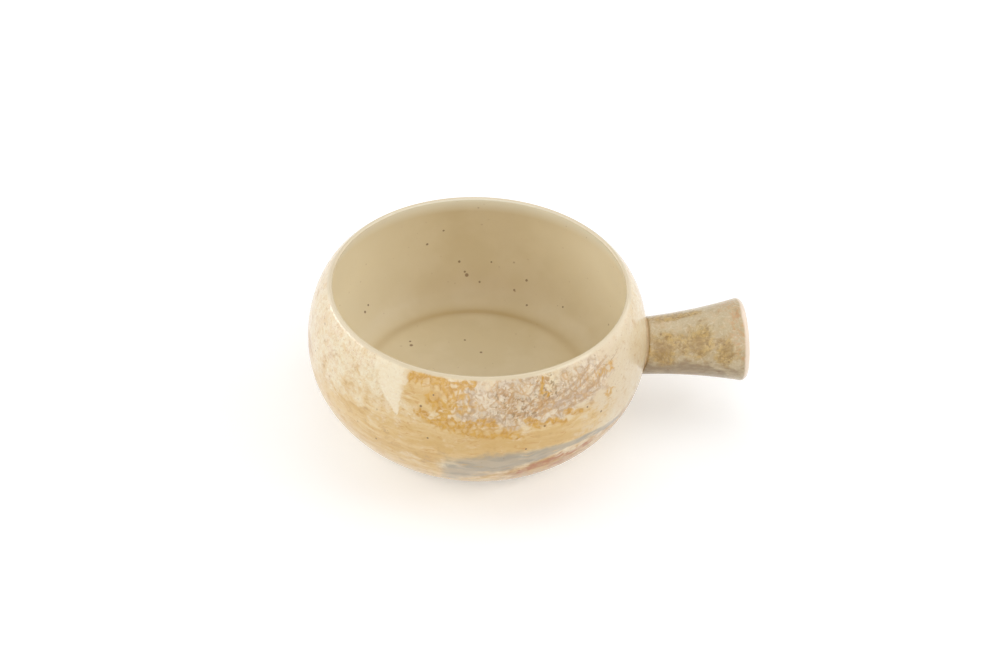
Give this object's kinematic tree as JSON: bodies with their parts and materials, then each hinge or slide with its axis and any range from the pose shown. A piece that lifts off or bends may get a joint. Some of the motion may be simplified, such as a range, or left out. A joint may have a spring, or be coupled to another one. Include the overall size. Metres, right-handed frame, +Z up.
{
  "type": "lug soup bowl",
  "caption": "Round-bellied stoneware soup bowl with a small in-turned lip, a low foot ring and one hollow flared side handle, in a mottled reactive glaze.",
  "frame": {"origin": "centre of the bowl at the level of the foot ring's resting face", "axes": "+Z up along the bowl's axis; +X out along the handle; the model is the same on both sides of the XZ plane"},
  "size_m": [0.17, 0.13, 0.0614],
  "materials": {
    "reactive_glaze": "gloss; ivory ground with honey and ochre patches, lilac-cream islands, a grey-blue run and fine specks",
    "liner_glaze": "satin gloss; plain tan with sparse fine brown specks, on the inside of the bowl",
    "groove_glaze": "gloss; glaze pooled dark over the luting slip",
    "bare_stoneware": "matt; unglazed fired clay on the resting face of the foot"
  },
  "bodies": {
    "root": {"bowl_body": "reactive_glaze", "handle": "reactive_glaze", "handle_joint": "groove_glaze"}
  },
  "joints": []
}
